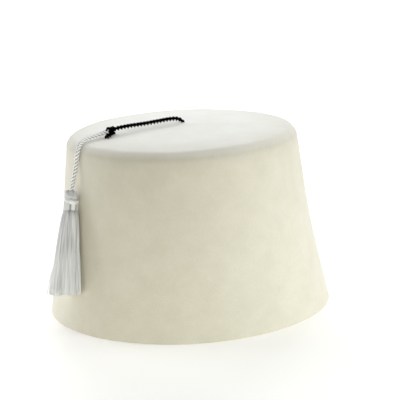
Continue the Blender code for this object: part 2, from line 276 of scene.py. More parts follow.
def set_sockets(node, **values):
    """Set a node's own sockets, with _ for each space in a socket's name."""
    for key, value in values.items():
        node.inputs[key.replace("_", " ")].default_value = value


def add_node(tree, kind, settings=None, links=None, **values):
    """Add a node: attributes in settings, (node, output) pairs in links, sockets in values."""
    node = tree.nodes.new(kind)
    for key, value in (settings or {}).items():
        setattr(node, key, value)
    set_sockets(node, **values)
    for key, (source, output) in (links or {}).items():
        tree.links.new(source.outputs[output], node.inputs[key])
    return node


def new_material(name):
    """A node material with its Principled shader."""
    material = bpy.data.materials.new(name)
    material.use_nodes = True
    return material, material.node_tree, material.node_tree.nodes["Principled BSDF"]


def ramp(tree, source, output, stops):
    """A colour ramp from a (position, sRGB hex) list."""
    node = add_node(tree, "ShaderNodeValToRGB", links={"Fac": (source, output)})
    elements = node.color_ramp.elements
    while len(elements) < len(stops):
        elements.new(0.5)
    for element, (position, hex_colour) in zip(elements, stops):
        element.position = position
        element.color = linear(hex_colour)
    return node


def shaded(hex_colour, share):
    """The same colour, lighter or darker by a share of each sRGB channel."""
    channels = [int(hex_colour[i:i + 2], 16) for i in (1, 3, 5)]
    return "#" + "".join(f"{max(0, min(255, round(c * share))):02X}" for c in channels)


# The felt's tone up the hat: share of the height, share of the felt's colour. It is painted light near the
# rim and painted shade that darkens the wall towards the top's edge, and the top takes its own paler
# colour as painted light.
FELT_TONE_HEIGHT = 0.124
FELT_PAINTED_SHADING = [(0.0, 1.026), (0.3, 1.004), (0.58, 0.970), (0.86, 0.927), (0.925, 0.890)]
FELT_TOP_STARTS = 0.978


def wool_felt_material(hex_colour, painted_lit_top_colour):
    """Blocked wool felt: matted fibres give a soft nap, faint mottling and a pale fuzz, over painted light
    and shade.
    """
    material, tree, shader = new_material("wool_felt_blocked")
    place = add_node(tree, "ShaderNodeTexCoord")
    parts = add_node(tree, "ShaderNodeSeparateXYZ", links={"Vector": (place, "Object")})
    height = add_node(tree, "ShaderNodeMath", {"operation": "MULTIPLY"}, links={0: (parts, "Z")})
    height.inputs[1].default_value = 1 / FELT_TONE_HEIGHT
    # Painted light low on the wall, painted shade near the top's edge, and the top painted paler
    stops = [(share, shaded(hex_colour, tone)) for share, tone in FELT_PAINTED_SHADING]
    tone = ramp(tree, height, "Value", [*stops, (FELT_TOP_STARTS, painted_lit_top_colour)])
    # Mottling where the fibres lie thicker, patches about 14 mm across
    mottle = add_node(tree, "ShaderNodeTexNoise", links={"Vector": (place, "Object")},
                      Scale=70.0, Detail=4.0, Roughness=0.6)
    # Matted fibres about 0.7 mm apart
    fibres = add_node(tree, "ShaderNodeTexNoise", links={"Vector": (place, "Object")},
                      Scale=1400.0, Detail=3.0, Roughness=0.65, Distortion=0.6)
    # Nap in soft waves about 3 mm across
    nap = add_node(tree, "ShaderNodeTexNoise", links={"Vector": (place, "Object")},
                   Scale=330.0, Detail=2.0, Roughness=0.5)
    patches = ramp(tree, mottle, "Fac", [(0.30, "#F7F7F4"), (0.70, "#FFFFFF")])
    speck = ramp(tree, fibres, "Fac", [(0.30, "#F7F7F6"), (0.60, "#FFFFFF")])
    shade = (tone, "Color")
    for layer in (patches, speck):
        mixed = add_node(tree, "ShaderNodeMix", {"data_type": "RGBA", "blend_type": "MULTIPLY"},
                         links={MIX_A: shade, MIX_B: (layer, "Color")}, Factor=1.0)
        shade = (mixed, MIX_RESULT)
    tree.links.new(mixed.outputs[MIX_RESULT], shader.inputs["Base Color"])
    coarse = add_node(tree, "ShaderNodeBump", links={"Height": (nap, "Fac")},
                      Strength=0.25, Distance=0.0003)
    fine = add_node(tree, "ShaderNodeBump",
                    links={"Height": (fibres, "Fac"), "Normal": (coarse, "Normal")},
                    Strength=0.35, Distance=0.00015)
    tree.links.new(fine.outputs["Normal"], shader.inputs["Normal"])
    set_sockets(shader, Roughness=0.93, IOR=1.45, Specular_IOR_Level=0.25, Sheen_Weight=0.5,
                Sheen_Roughness=0.55, Sheen_Tint=linear("#FFFFFF"))
    return material


def twisted_yarn_material(name, hex_colour, groove_shade_colour, groove_shade_start, roughness, shine, glow):
    """Twisted yarn: each ply keeps the yarn's colour on its crest, and painted shade darkens the grooves
    between the plies.
    """
    material, tree, shader = new_material(name)
    uv = add_node(tree, "ShaderNodeUVMap", {"uv_map": "yarn"})
    # U counts plies, so its distance to a whole number is the place across a ply, 0.5 in a groove
    parts = add_node(tree, "ShaderNodeSeparateXYZ", links={"Vector": (uv, "UV")})
    across = add_node(tree, "ShaderNodeMath", {"operation": "PINGPONG"}, links={0: (parts, "X")})
    across.inputs[1].default_value = 0.5
    # Painted shade: towards a groove the colour runs into the dark groove colour
    tone = ramp(tree, across, "Value", [(groove_shade_start, hex_colour), (0.47, groove_shade_colour)])
    tree.links.new(tone.outputs["Color"], shader.inputs["Base Color"])
    # Fibres 0.15 mm apart, slanting across each ply
    fibres = add_node(tree, "ShaderNodeTexWave", {"wave_type": "BANDS", "bands_direction": "DIAGONAL"},
                      links={"Vector": (uv, "UV")}, Scale=3.0, Distortion=1.2, Detail=2.0)
    bump = add_node(tree, "ShaderNodeBump", links={"Height": (fibres, "Fac")},
                    Strength=0.35, Distance=0.00008)
    tree.links.new(bump.outputs["Normal"], shader.inputs["Normal"])
    # Painted light: the yarn gives off a faint glow of its own
    set_sockets(shader, Roughness=roughness, IOR=1.5, Specular_IOR_Level=shine,
                Emission_Color=linear("#FFFFFF"), Emission_Strength=glow)
    return material


# The floss's shades: tone of a thread, share of the rayon's colour. The tones carry painted light and
# shade. From the tone where the glow starts, the threads glow as painted light, up to this strength.
FLOSS_TONES = [(0.0, 0.56), (0.5, 0.862), (1.0, 0.975)]
FLOSS_PAINTED_GLOW_STARTS = 0.55
FLOSS_PAINTED_GLOW = 0.035


def thread_material(hex_colour):
    """Rayon floss: smooth bright threads that bunch in streaks, a little lighter or darker, with painted
    light and shade in their tone.
    """
    material, tree, shader = new_material("rayon_floss_white")
    tone = add_node(tree, "ShaderNodeAttribute", {"attribute_name": "thread_tone_and_painted_light"})
    colour = ramp(tree, tone, "Fac", [(place, shaded(hex_colour, share)) for place, share in FLOSS_TONES])
    tree.links.new(colour.outputs["Color"], shader.inputs["Base Color"])
    place = add_node(tree, "ShaderNodeTexCoord")
    # Crimps along the threads about 1.5 mm long
    crimp = add_node(tree, "ShaderNodeTexNoise", links={"Vector": (place, "Object")},
                     Scale=650.0, Detail=2.0, Roughness=0.5)
    bump = add_node(tree, "ShaderNodeBump", links={"Height": (crimp, "Fac")},
                    Strength=0.2, Distance=0.0001)
    tree.links.new(bump.outputs["Normal"], shader.inputs["Normal"])
    # Painted light: the threads glow, most where their tone is pale, as at the sparse foot
    glow = add_node(tree, "ShaderNodeMapRange", links={"Value": (tone, "Fac")},
                    From_Min=FLOSS_PAINTED_GLOW_STARTS, From_Max=1.0, To_Min=0.0, To_Max=FLOSS_PAINTED_GLOW)
    tree.links.new(glow.outputs["Result"], shader.inputs["Emission Strength"])
    set_sockets(shader, Roughness=0.42, IOR=1.53, Sheen_Weight=0.1, Emission_Color=linear("#FFFFFF"))
    return material


def add_object(name, bm, material):
    """Turn a bmesh into an object of the scene."""
    mesh = bpy.data.meshes.new(name)
    bm.to_mesh(mesh)
    bm.free()
    mesh.materials.append(material)
    made = bpy.data.objects.new(name, mesh)
    bpy.context.scene.collection.objects.link(made)
    return made


def add_piece(name, bm, material, node):
    """Turn a bmesh into a smooth piece that rides on the hat in place of a CAD node."""
    piece = add_object(name, bm, material)
    piece.data.shade_smooth()
    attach(piece, "root")
    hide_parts(node)
    return piece


def spline_point(points, position):
    """A point on the smooth curve that passes through all the points."""
    last = len(points) - 1
    i = min(int(position), last - 1)
    t = position - i
    a, b, c, d = (points[max(0, min(last, k))] for k in (i - 1, i, i + 1, i + 2))
    return 0.5 * (2 * b + (c - a) * t + (2 * a - 5 * b + 4 * c - d) * t * t
                  + (3 * b - a - 3 * c + d) * t ** 3)


# Steps from one point of a route to the next, while its length is measured
ROUTE_STEPS = 40


def even_points(points, spacing):
    """Points at an even spacing along the smooth curve through the given ones."""
    steps = ROUTE_STEPS * (len(points) - 1)
    fine = [spline_point(points, k / ROUTE_STEPS) for k in range(steps + 1)]
    lengths = [0.0]
    for a, b in zip(fine, fine[1:]):
        lengths.append(lengths[-1] + (b - a).length)
    count = max(2, round(lengths[-1] / spacing))
    result = []
    k = 0
    for step in range(count + 1):
        target = lengths[-1] * step / count
        while k < len(fine) - 2 and lengths[k + 1] < target:
            k += 1
        share = (target - lengths[k]) / (lengths[k + 1] - lengths[k])
        result.append(fine[k].lerp(fine[k + 1], share))
    return result


def carried_frames(points):
    """A frame at each point, Z along the line, carried on without turning about it."""
    frames = []
    side = None
    for i, point in enumerate(points):
        ahead = (points[min(i + 1, len(points) - 1)] - points[max(i - 1, 0)]).normalized()
        if side is None:
            side = ahead.orthogonal()
        side = (side - ahead * side.dot(ahead)).normalized()
        across = ahead.cross(side)
        frames.append(Matrix((side, across, ahead)).transposed().to_4x4())
        frames[-1].translation = point
    return frames


def edges_at(verts):
    """The edges at some vertices, each once, in the order of the vertices."""
    return list(dict.fromkeys(edge for vert in verts for edge in vert.link_edges))


def ply_outline(bm, diameter, sides, spread, reach_across):
    """The closed outline of plies laid side by side, made from a circle."""
    made = bmesh.ops.create_circle(bm, segments=PLIES * sides, radius=diameter / 2)["verts"]
    around = bm.verts.layers.float["around"]
    across = reach_across * diameter
    centre = spread * across
    ply = across / 2 - centre
    part = TURN / PLIES
    for vert in made:
        angle = math.atan2(vert.co.y, vert.co.x)
        offset = (angle + part / 2) % part - part / 2
        half_chord = math.sqrt(max(0, ply ** 2 - (centre * math.sin(offset)) ** 2))
        reach = centre * math.cos(offset) + half_chord
        vert.co = Vector((reach * math.cos(angle), reach * math.sin(angle), 0))
        vert[around] = angle / part % PLIES
    return made


def lay_cord(bm, points, diameter, pitch, sides=8, spread=PLY_SPREAD, reach=PLY_REACH, taper=()):
    """Sweep the plies' outline along the points, turning once in each pitch."""
    frames = carried_frames(points)
    uv = bm.loops.layers.uv.get("yarn") or bm.loops.layers.uv.new("yarn")
    around = bm.verts.layers.float.get("around") or bm.verts.layers.float.new("around")
    along = bm.verts.layers.float.get("along") or bm.verts.layers.float.new("along")
    known = set(bm.faces)
    ring = ply_outline(bm, diameter, sides, spread, reach)
    first = list(ring)
    edges = edges_at(ring)
    place = Matrix.Identity(4)
    travelled = 0.0
    for i, base in enumerate(frames):
        if i:
            travelled += (points[i] - points[i - 1]).length
            made = bmesh.ops.extrude_edge_only(bm, edges=edges)["geom"]
            ring = [item for item in made if isinstance(item, bmesh.types.BMVert)]
            new = set(ring)
            edges = [edge for edge in edges_at(ring) if new.issuperset(edge.verts)]
        size = taper[i] if taper else 1.0
        twist = Matrix.Rotation(TURN * (travelled / pitch), 4, "Z")
        target = base @ twist @ Matrix.Diagonal((size, size, size, 1))
        bmesh.ops.transform(bm, matrix=target @ place.inverted(), verts=ring)
        for vert in ring:
            vert[along] = travelled / diameter
        place = target
    for end in (first, ring):
        bmesh.ops.edgeloop_fill(bm, edges=[edge for edge in edges_at(end) if edge.is_boundary])
    made_faces = [face for face in bm.faces if face not in known]
    for face in made_faces:
        places = [loop.vert[around] for loop in face.loops]
        wraps = max(places) - min(places) > PLIES / 2
        for loop in face.loops:
            value = loop.vert[around]
            if wraps and value < PLIES / 2:
                value += PLIES
            loop[uv].uv = (value, loop.vert[along])
    bmesh.ops.recalc_face_normals(bm, faces=made_faces)


def outward(point, crown):
    """The felt's outward direction at a point on or near its outside."""
    radius = math.hypot(point.x, point.y)
    level = max(radius - (crown.top_diameter / 2 - crown.edge_radius), 0)
    rise = max(point.z - (crown.shoulder_height - crown.edge_radius), 0)
    return Vector((point.x / radius * level, point.y / radius * level, rise)).normalized()


def strand_path(side, crown):
    """One strand of the doubled white cord: the pair's line, moved to one side of it."""
    centres = [Vector(row[:3]) for row in WHITE_ROUTE]
    moved = []
    for i, centre in enumerate(centres):
        ahead = centres[min(i + 1, len(centres) - 1)] - centres[max(i - 1, 0)]
        up = outward(centre, crown)
        across = ahead.cross(up).normalized()
        degrees, half_gap = WHITE_ROUTE[i][3:]
        roll = math.radians(degrees)
        moved.append(centre + (across * math.cos(roll) + up * math.sin(roll)) * side * half_gap)
    return even_points(moved, CORD_STEP)


def knot_line(centre, heading, size):
    """The closed line of a small overhand knot, a trefoil drawn tight to a given size."""
    points = []
    for k in range(KNOT_STEPS + 1):
        t = TURN * k / KNOT_STEPS
        x = (math.sin(t) + 2 * math.sin(2 * t)) * size.x / 6
        y = (math.cos(t) - 2 * math.cos(2 * t)) * size.y / 6
        z = -math.sin(3 * t) * size.z / 2
        points.append(centre + heading @ Vector((x, y, z)))
    return points


def knot_piece(name, centre, heading, size, cord, tail, material, node):
    """A tight overhand knot of the black cord, with its free end."""
    bm = bmesh.new()
    thick = KNOT_CORD_SHARE * cord.black_diameter
    inner = Vector(size) - Vector((thick, thick, thick))
    lay_cord(bm, knot_line(centre, heading, inner), thick, cord.black_pitch)
    core = bmesh.ops.create_icosphere(bm, subdivisions=2, radius=0.5)["verts"]
    stretch = Matrix.Diagonal((*(KNOT_CORE_SHARE * Vector(size)), 1))
    bmesh.ops.transform(bm, matrix=Matrix.Translation(centre) @ heading.to_4x4() @ stretch, verts=core)
    points = even_points([Vector(row) for row in tail], CORD_STEP)
    frays = [max(0.0, (k / len(points) - TAIL_FRAY_STARTS) / (1 - TAIL_FRAY_STARTS))
             for k in range(len(points))]
    lay_cord(bm, points, cord.black_diameter, cord.black_pitch,
             taper=[TAIL_SLACK + TAIL_FRAY * fray for fray in frays])
    return add_piece(name, bm, material, node)


class FEZ_OT_camera(bpy.types.Operator):
    """Place the camera at the photograph's angle"""

    bl_idname = "fez.camera"
    bl_label = "Camera"

    def execute(self, context):
        lens = bpy.data.cameras.new("camera")
        lens.lens = CAMERA_LENS
        lens.sensor_width = CAMERA_SENSOR
        lens.clip_start, lens.clip_end = CAMERA_RANGE
        camera = bpy.data.objects.new("camera", lens)
        camera.location = CAMERA_PLACE
        gaze = (CAMERA_AIM - CAMERA_PLACE).to_track_quat("-Z", "Y").to_matrix()
        camera.rotation_euler = (gaze @ Matrix.Rotation(math.radians(CAMERA_ROLL), 3, "Z")).to_euler()
        context.scene.collection.objects.link(camera)
        context.scene.camera = camera
        return {"FINISHED"}


class FEZ_OT_black_cord(bpy.types.Operator):
    """Make the black cord, its knot round the white cord and its stop knot under the top"""

    bl_idname = "fez.black_cord"
    bl_label = "Black cord and knots"

    def execute(self, context):
        cord = context.scene.fez_cord
        cotton = twisted_yarn_material("cotton_yarn_black", cord.black_colour, groove_shade_colour="#010101",
                                       groove_shade_start=0.3, roughness=1.0, shine=0.03, glow=0.0)
        path = even_points([Vector(row) for row in BLACK_ROUTE], CORD_STEP)
        bm = bmesh.new()
        # The two plies change places twice in each pitch
        angles = [2 * TURN * k * CORD_STEP / cord.black_pitch - BLACK_SWELLING_START
                  for k in range(len(path))]
        lay_cord(bm, path, cord.black_diameter, cord.black_pitch, spread=LAID_PLY_SPREAD,
                 reach=BLACK_PLY_REACH,
                 taper=[BLACK_THICKENING + BLACK_SWELLING * math.cos(angle) for angle in angles])
        laid = add_piece("laid_black_cord", bm, cotton, "black_cord")

        ahead = Vector(BLACK_ROUTE[-2]) - Vector(BLACK_ROUTE[-3])
        turned = Matrix.Rotation(math.atan2(ahead.y, ahead.x) + KNOT_TURN, 3, "Z")
        heading = turned @ Matrix.Rotation(KNOT_ROLL, 3, "X")
        knot = knot_piece("black_overhand_knot", KNOT_CENTRE, heading, KNOT_SIZE, cord, TAIL_ROUTE,
                          cotton, "black_knot")
        upright = Matrix.Rotation(math.radians(90), 3, "Y")
        stop = knot_piece("inner_stop_knot", STOP_KNOT_CENTRE, upright, STOP_KNOT_SIZE, cord,
                          INNER_TAIL_ROUTE, cotton, "stop_knot")
        return {"FINISHED"}


class FEZ_OT_white_cord(bpy.types.Operator):
    """Make the two strands of the doubled white cord"""

    bl_idname = "fez.white_cord"
    bl_label = "White cord"

    def execute(self, context):
        cord = context.scene.fez_cord
        rayon = twisted_yarn_material("rayon_yarn_white", "#FFFFFC", groove_shade_colour="#1E1D18",
                                      groove_shade_start=0.24, roughness=0.45, shine=0.5, glow=0.05)
        for name, side, node in WHITE_STRANDS:
            bm = bmesh.new()
            path = strand_path(side, context.scene.fez_crown)
            shares = [k / len(path) for k in range(len(path))]
            taper = [WHITE_SLACK - WHITE_DRAWN_OUT * share
                     + WHITE_OPENING * max(0.0, 1 - WHITE_OPENING_RATE * share) for share in shares]
            lay_cord(bm, path, cord.white_diameter, cord.white_pitch, sides=12,
                     spread=LAID_PLY_SPREAD, taper=taper)
            add_piece(name, bm, rayon, node)
        return {"FINISHED"}


# Rings of the felt on the top, the rounded edge and the wall, outside and inside, how closely
# they crowd towards the hole, and faces round the crown
OUTSIDE_RINGS = (26, 12, 40)
INSIDE_RINGS = (18, 8, 30)
RING_CROWDING = 1.3
CROWN_SEGMENTS = 240
# The cut edge is rounded over this much of the felt, through a point this far in and up
RIM_ROUNDING = 0.0005
RIM_CORNER = (0.00015, 0.00018)
# The hole for the cord, and the radius of felt that the cord pulls sideways round it. The hole
# slants with the cord: from where it is on the outside, it lies further out on the inside.
HOLE_RADIUS = 0.0012
HOLE_PULL_RADIUS = 0.016
HOLE_SHIFT = (0.0011, 0.0002)
HOLE_TOP = 0.1235
HOLE_SLANT = 0.36
# A hand-blocked wall is never quite round or flat: waves to a metre, their depth, and where
# their pattern starts. They fade out round the hole, and on the top they run upwards.
FELT_WAVES = [(28, 0.00045, (0, 0, 0)), (95, 0.0001, (7, 3, 5))]
WAVE_FADE_RADIUS = 0.03
TOP_STARTS = 0.112


def crown_side(crown, inset, rings):
    """Radius and height down one side of the felt, which lies inset from its outside."""
    wall_top = crown.shoulder_height - crown.edge_radius
    arc_centre = crown.top_diameter / 2 - crown.edge_radius
    slope = math.atan(2 * crown.top_crown / arc_centre)
    dome_steps, arc_steps, wall_steps = rings
    radius = crown.edge_radius - inset
    edge = []
    for k in range(arc_steps + 1):
        angle = (math.pi / 2 - slope) * (1 - k / arc_steps)
        edge.append((arc_centre + radius * math.cos(angle), wall_top + radius * math.sin(angle)))
    edge_radius, edge_height = edge[0]
    dome = []
    for k in range(dome_steps):
        at = HOLE_RADIUS + (edge_radius - HOLE_RADIUS) * (k / dome_steps) ** RING_CROWDING
        dome.append((at, edge_height + crown.top_crown * (1 - (at / edge_radius) ** 2)))
    wall = []
    for k in range(1, wall_steps + 1):
        height = wall_top + (RIM_ROUNDING - wall_top) * k / wall_steps
        share = height / wall_top
        at = crown.base_diameter / 2 + (crown.top_diameter - crown.base_diameter) / 2 * share
        wall.append((at - crown.wall_draw_in * 4 * share * (1 - share) - inset, height))
    return dome + edge + wall


class FEZ_OT_felt_crown(bpy.types.Operator):
    """Make the blocked felt crown, open below"""

    bl_idname = "fez.felt_crown"
    bl_label = "Felt crown"

    def execute(self, context):
        crown = context.scene.fez_crown
        outside = crown_side(crown, 0, OUTSIDE_RINGS)
        inside = crown_side(crown, crown.felt_thickness, INSIDE_RINGS)
        outer = crown.base_diameter / 2
        inner = outer - crown.felt_thickness
        inset, level = RIM_CORNER
        rim = [(outer - inset, level), (outer - RIM_ROUNDING, 0),
               (inner + RIM_ROUNDING, 0), (inner + inset, level)]
        bm = bmesh.new()
        outline = [bm.verts.new((radius, 0, height)) for radius, height in outside + rim + inside[::-1]]
        for a, b in zip(outline, outline[1:] + outline[:1]):
            bm.edges.new((a, b))
        bmesh.ops.spin(bm, geom=bm.verts[:] + bm.edges[:], cent=(0, 0, 0), axis=(0, 0, 1),
                       angle=TURN, steps=CROWN_SEGMENTS, use_merge=True)
        bmesh.ops.remove_doubles(bm, verts=bm.verts, dist=MERGE_DISTANCE)
        for vert in bm.verts:
            co = vert.co
            radius = math.hypot(co.x, co.y)
            pull = max(0.0, 1 - radius / HOLE_PULL_RADIUS) ** 2
            lean = HOLE_SHIFT[0] + HOLE_SLANT * max(0.0, HOLE_TOP - co.z)
            push = sum(depth * noise.noise(co * count + Vector(start))
                       for count, depth, start in FELT_WAVES)
            push *= min(1.0, radius / WAVE_FADE_RADIUS)
            away = Vector((co.x, co.y, 0)).normalized() if co.z < TOP_STARTS else Vector((0, 0, 1))
            vert.co = co + away * push + Vector((lean * pull, HOLE_SHIFT[1] * pull, 0))
        bmesh.ops.recalc_face_normals(bm, faces=bm.faces)
        felt = wool_felt_material(crown.felt_colour, crown.painted_lit_top_colour)
        add_piece("blocked_felt_crown", bm, felt, "felt_crown")
        return {"FINISHED"}


def place_round(angle):
    """The point at an angle on a circle of radius 1."""
    return Vector((math.cos(angle), math.sin(angle), 0))


def tassel_turn(top, foot):
    """A rotation with Z up the tassel, X along the felt and Y away from it."""
    up = (top - foot).normalized()
    away = Vector((NECK_FOOT.x, NECK_FOOT.y, 0)).normalized()
    along = away.cross(up).normalized()
    return Matrix((along, up.cross(along), up)).transposed()


# Bands of thread round the head: tilt down to the right, lean, height above the middle, reach as a share
# of the head's radius, half thickness, tone, which paints light on some bands and shade on others
HEAD_BANDS = [
    (28, 9, 0.0014, 0.93, 0.0014, 0.78),
    (32, -6, 0.0000, 0.97, 0.0009, 0.38),
    (17, 5, -0.0018, 0.92, 0.0015, 1.10),
    (-50, 17, 0.0004, 0.88, 0.0012, 0.50),
]
# Threads side by side in one band, how deep the grooves between them are, and how much wider
# than thick the band is
BAND_THREADS = 9
BAND_GROOVE = 0.14
BAND_WIDENING = 1.15
BAND_SEGMENTS = 72
# Painted light and shade: a band is painted lighter along its middle, and painted shade darkens it where
# it tucks under the next one and in its grooves
BAND_EDGE_PAINTED_SHADE = 0.35
BAND_GROOVE_PAINTED_SHADE = 0.2
# The ball under the bands: its radius and height as shares of the head's, and its tone, painted shade
# where it shows between the bands
HEAD_CORE_SHARE = 0.9
HEAD_CORE_HEIGHT = 0.88
HEAD_CORE_PAINTED_SHADE = 0.45


def wind_band(bm, tone, radius, row):
    """One band of parallel threads, wound once round the head."""
    tilt, lean, height, reach, half, shade = row
    before = set(bm.verts)
    outline = bmesh.ops.create_circle(bm, segments=BAND_THREADS * 6, radius=half)["verts"]
    major = (radius - half) * reach
    edges = edges_at(outline)
    stand = Matrix.Translation((major, 0, 0)) @ Matrix.Rotation(math.pi / 2, 4, "X")
    bmesh.ops.transform(bm, matrix=stand, verts=outline)
    bmesh.ops.spin(bm, geom=outline + edges, cent=(0, 0, 0), axis=(0, 0, 1),
                   angle=TURN, steps=BAND_SEGMENTS, use_merge=True)
    tipped = Matrix.Rotation(math.radians(tilt), 4, "Y")
    tipped = tipped @ Matrix.Rotation(math.radians(lean), 4, "X")
    seat = Matrix.Translation(HEAD_CENTRE + Vector((0, 0, height))) @ tipped
    for vert in [v for v in bm.verts if v not in before]:
        turn = math.atan2(vert.co.y, vert.co.x)
        angle = math.atan2(vert.co.z, math.hypot(vert.co.x, vert.co.y) - major)
        crest = abs(math.cos(BAND_THREADS / 2 * (angle + turn)))
        thick = half * (1 + BAND_GROOVE * (crest - 0.5))
        out = major + thick * math.cos(angle)
        vert.co = seat @ Vector((out * math.cos(turn), out * math.sin(turn),
                                 BAND_WIDENING * thick * math.sin(angle)))
        # Painted light along the band's middle, painted shade at its edges and in its grooves
        lit = BAND_EDGE_PAINTED_SHADE + (1 - BAND_EDGE_PAINTED_SHADE) * max(0.0, math.cos(angle))
        vert[tone] = shade * lit - BAND_GROOVE_PAINTED_SHADE * (1 - crest)


class FEZ_OT_tassel_head(bpy.types.Operator):
    """Make the wound head at the top of the tassel"""

    bl_idname = "fez.tassel_head"
    bl_label = "Tassel head"

    def execute(self, context):
        radius = context.scene.fez_tassel.head_diameter / 2
        bm = bmesh.new()
        tone = bm.verts.layers.float.new("thread_tone_and_painted_light")
        ball = bmesh.ops.create_uvsphere(bm, u_segments=40, v_segments=24,
                                         radius=radius * HEAD_CORE_SHARE)["verts"]
        seat = Matrix.Translation(HEAD_CENTRE) @ Matrix.Diagonal((1, 1, HEAD_CORE_HEIGHT, 1))
        bmesh.ops.transform(bm, matrix=seat, verts=ball)
        for vert in ball:
            vert[tone] = HEAD_CORE_PAINTED_SHADE
        for row in HEAD_BANDS:
            wind_band(bm, tone, radius, row)
        bmesh.ops.remove_doubles(bm, verts=bm.verts, dist=MERGE_DISTANCE)
        bmesh.ops.recalc_face_normals(bm, faces=bm.faces)
        material = thread_material(context.scene.fez_cord.white_colour)
        add_piece("wound_tassel_head", bm, material, "tassel_head")
        return {"FINISHED"}


def thread_template(rings, sides):
    """A straight closed thread of radius 1, one ring at each whole height from 0 down."""
    bm = bmesh.new()
    bmesh.ops.create_cone(bm, cap_ends=True, segments=sides, radius1=1, radius2=1, depth=1)
    uprights = [e for e in bm.edges if abs(e.verts[0].co.z - e.verts[1].co.z) > 0.5]
    bmesh.ops.subdivide_edges(bm, edges=uprights, cuts=rings - 2, use_grid_fill=True)
    for vert in bm.verts:
        vert.co.z = round((vert.co.z - 0.5) * (rings - 1))
    mesh = bpy.data.meshes.new("thread_template")
    bm.to_mesh(mesh)
    bm.free()
    return mesh


def add_thread(bm, template, centres, radii, turned, tone, shades):
    """Append one thread with its rings on the centres, each ring with its own radius and tone."""
    start = len(bm.verts)
    bm.from_mesh(template)
    bm.verts.ensure_lookup_table()
    for k in range(start, len(bm.verts)):
        vert = bm.verts[k]
        ring = int(round(-vert.co.z))
        vert.co = centres[ring] + turned @ Vector((vert.co.x, vert.co.y, 0)) * radii[ring]
        vert[tone] = shades[ring]


# The skirt's tone at the neck, how much lighter it gets to the foot as painted light, and its streaks: how
# many there are round it, and how strong they are
SKIRT_TONE = 0.42
SKIRT_FOOT_PAINTED_LIGHT = 0.43
SKIRT_STREAKS = [(13.0, 0.45), (6.0, 0.2), (1.6, 0.08)]
# Loose ends that part from the skirt: direction round it in degrees, share of the length
# where they leave it, reach at the foot, threads, spread of the threads
LOOSE_ENDS = [
    (222, 0.34, 1.05, 9, 0.030),
    (232, 0.52, 1.02, 6, 0.025),
    (212, 0.60, 1.06, 6, 0.030),
    (46, 0.66, 1.22, 5, 0.030),
    (50, 0.60, 1.10, 7, 0.040),
    (38, 0.72, 1.12, 5, 0.035),
]
# A loose end's reach before it parts, how much lighter it is, and how much darker every thread is where it
# leaves the neck, painted shade under the neck
LOOSE_DEPTH = 0.97
LOOSE_END_TONE = 0.25
TUCKED_PAINTED_SHADE = 0.12
# The side of the skirt that is drawn in behind its loose ends, and the side that hangs shorter
DRAWN_IN_SIDE = math.radians(224)
DRAWN_IN = 0.10
SHORT_SIDE = math.radians(192)
SHORT_SIDE_CUT = 0.045
# Every second thread lies inside the skirt, within these shares of its cross-section. How the
# threads differ: flare at the foot, length each way, the most that a broken one lacks, the
# share of broken ones, and tone each way.
THREAD_SEED = 7
INNER_AREA = (0.15, 0.95)
THREAD_FLARE = 0.05
THREAD_LENGTHS = 0.014
BROKEN_LENGTH = 0.035
BROKEN_SHARE = 0.25
THREAD_TONES = 0.12
# Threads turn aside in clumps and each by itself, and the skirt swells in soft puffs
CLUMP_TURN = 0.03
STRAY_TURN = 0.02
PUFF_SWELLING = 0.04
# The side of the skirt that stands clear of the felt, where its threads get painted light, and how much
# lighter they are
SKIRT_PAINTED_LIGHT_SIDE = math.radians(62)
SKIRT_PAINTED_LIGHT_SHARE = 0.20
# The side next to the felt, painted lighter for the light that the felt throws on it, and how much lighter
# it is
SKIRT_FELT_BOUNCE_SIDE = math.radians(250)
SKIRT_FELT_BOUNCE_SHARE = 0.45
# Gaps between the neck's bundles, dark with painted shade: direction round it and half width, in degrees
NECK_GAPS = [(147, 9), (206, 11), (252, 9), (297, 10), (343, 9), (28, 10), (68, 7)]
# The direction of the bundle that gets painted light
NECK_PAINTED_LIGHT_SIDE = 175
NECK_PAINTED_LIGHT_WIDTH = 12
# The neck's tone, how much lighter its bundle with painted light is, and tone each way
NECK_TONE = 0.74
NECK_PAINTED_LIGHT = 0.40
NECK_TONES = 0.06
# Where the neck starts and ends, as shares of the way from the head's middle to its foot
NECK_STARTS = 0.30
NECK_ENDS = 1.06
# Its reach at both ends and more in the middle, the depth of its gaps, its threads' thickness
NECK_END_REACH = 0.97
NECK_BULGE = 0.06
NECK_GAP_DEPTH = 0.12
NECK_THREAD_SHARE = 1.15
NECK_RINGS = 7
NECK_THREADS = 72
SKIRT_RINGS = 15
THREAD_SIDES = 6
# Half the skirt's width and depth at its top, and how it spreads from there
SKIRT_TOP_HALF = (0.0049, 0.0044)
SKIRT_SPREAD = 0.93
SKIRT_BOW = 0.57
# The skirt's dark middle: its radius at the top, share of the skirt at the foot, length, tone of its
# painted shade
MIDDLE_TOP = 0.0030
MIDDLE_FOOT = 0.36
MIDDLE_LENGTH = 0.93
MIDDLE_PAINTED_SHADE = 0.3


def streak_tone(angle, share):
    """How light the threads are at a place on the skirt, from about 0 to 1, painted light and shade
    included.
    """
    pale = min(1.0, 1.6 * share) * math.cos(angle - SKIRT_PAINTED_LIGHT_SIDE)
    total = SKIRT_TONE + SKIRT_FOOT_PAINTED_LIGHT * share + SKIRT_PAINTED_LIGHT_SHARE * pale
    total += SKIRT_FELT_BOUNCE_SHARE * max(0.0, math.cos(angle - SKIRT_FELT_BOUNCE_SIDE)) ** 6
    for count, strength in SKIRT_STREAKS:
        place = place_round(angle) * count
        total += strength * noise.noise(place + Vector((3.7, 0, 4 * share + count)))
    return total


def skirt_point(tassel, skirt, angle, reach, share, inset):
    """A point on the skirt at a share of its length, reach 1 being its outside."""
    half_foot = (tassel.skirt_width / 2, tassel.skirt_depth / 2)
    bowed = SKIRT_SPREAD * share ** SKIRT_BOW
    wide, deep = (top + (foot - top) * bowed - inset for top, foot in zip(SKIRT_TOP_HALF, half_foot))
    side = Vector((wide * reach * math.cos(angle), deep * reach * math.sin(angle), 0))
    return NECK_FOOT.lerp(SKIRT_FOOT, share) + skirt @ side


